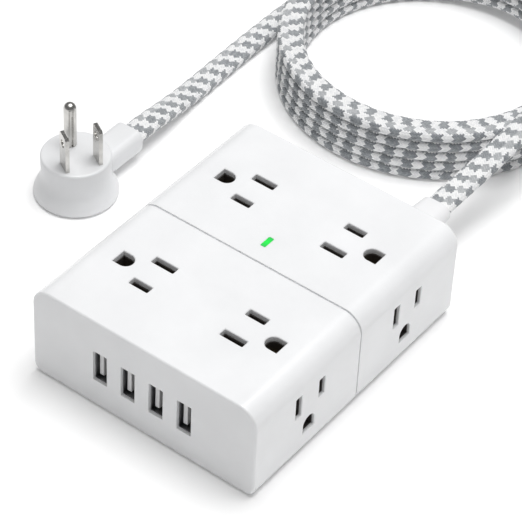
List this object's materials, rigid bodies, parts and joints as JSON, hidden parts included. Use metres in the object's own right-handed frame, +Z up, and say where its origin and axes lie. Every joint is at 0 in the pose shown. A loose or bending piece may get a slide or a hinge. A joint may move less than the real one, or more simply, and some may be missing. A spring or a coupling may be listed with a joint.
{
  "type": "surge protector",
  "caption": "Flat white surge protector block with outlets on its top and sides, USB ports in front, and a coiled flat braided cord ending in a round flat plug.",
  "frame": {"origin": "bottom centre of the block, on the plane its feet rest on, the cord and plug not counted", "axes": "+Y along the block from the USB face to the cord's exit, +X to the right as the USB face is looked at, +Z up"},
  "size_m": [0.1582, 0.287, 0.039],
  "materials": {
    "white_plastic": "white satin-gloss moulded plastic",
    "grey_plastic": "light grey moulded plastic",
    "black_plastic": "black heat-resisting plastic",
    "foot_rubber": "soft grey rubber",
    "screw_steel": "zinc-plated steel",
    "brass": "stamped brass strip",
    "circuit_board": "green solder mask",
    "varistor_blue": "blue epoxy dip",
    "can_aluminium": "drawn can",
    "green_lens": "glowing green light guide",
    "led_clear": "clear green epoxy",
    "ferrite": "sintered ferrite",
    "winding_tape": "yellow polyester tape",
    "nickel_shell": "nickel-plated shell",
    "tongue_plastic": "white heat-resisting plastic",
    "gold_contacts": "gold flash",
    "cord_braid": "woven white and grey braid",
    "wire_black": "black insulation",
    "wire_white": "white insulation",
    "wire_green": "green insulation",
    "nickel_pins": "nickel-plated blades"
  },
  "bodies": {
    "housing": {"base_cover": "white_plastic", "board_screws": "screw_steel", "breaker_body": "black_plastic", "clamp_saddle": "white_plastic", "clamp_screws": "screw_steel", "contact_carrier_1": "black_plastic", "contact_carrier_2": "black_plastic", "contact_carrier_3": "black_plastic", "contact_carrier_4": "black_plastic", "contact_carrier_5": "black_plastic", "contact_carrier_6": "black_plastic", "contact_carrier_7": "black_plastic", "contact_carrier_8": "black_plastic", "cord_clamp": "white_plastic", "cord_coil": "cord_braid", "cord_lead": "cord_braid", "cord_plug_lead": "cord_braid", "cord_tail": "cord_braid", "filter_capacitor": "black_plastic", "front_housing": "white_plastic", "ground_busbar": "brass", "ground_wire": "wire_green", "housing_screws": "screw_steel", "indicator_led": "led_clear", "indicator_lens": "green_lens", "line_busbar": "brass", "line_wire": "wire_black", "neutral_busbar": "brass", "neutral_wire": "wire_white", "plug_body": "white_plastic", "plug_ground_pin": "nickel_pins", "plug_line_blade": "nickel_pins", "plug_neutral_blade": "nickel_pins", "rear_housing": "white_plastic", "reset_bezel": "grey_plastic", "reset_spring": "screw_steel", "rubber_feet": "foot_rubber", "strain_relief": "white_plastic", "surge_board": "circuit_board", "thermal_fuse": "can_aluminium", "transformer_core": "ferrite", "transformer_winding": "winding_tape", "usb_board": "circuit_board", "usb_capacitors": "can_aluminium", "usb_contacts_1": "gold_contacts", "usb_contacts_2": "gold_contacts", "usb_contacts_3": "gold_contacts", "usb_contacts_4": "gold_contacts", "usb_controller": "black_plastic", "usb_riser": "circuit_board", "usb_shell_1": "nickel_shell", "usb_shell_2": "nickel_shell", "usb_shell_3": "nickel_shell", "usb_shell_4": "nickel_shell", "usb_tongue_1": "tongue_plastic", "usb_tongue_2": "tongue_plastic", "usb_tongue_3": "tongue_plastic", "usb_tongue_4": "tongue_plastic", "varistors": "varistor_blue"},
    "button": {"reset_button": "grey_plastic"}
  },
  "joints": [
    {"name": "reset_travel", "type": "slide", "parent": "housing", "child": "button", "axis": [0, 1, 0], "range_m": [-0.0008, 0.0025], "stiffness_N_per_m": 400, "deforming": ["reset_spring"]}
  ]
}
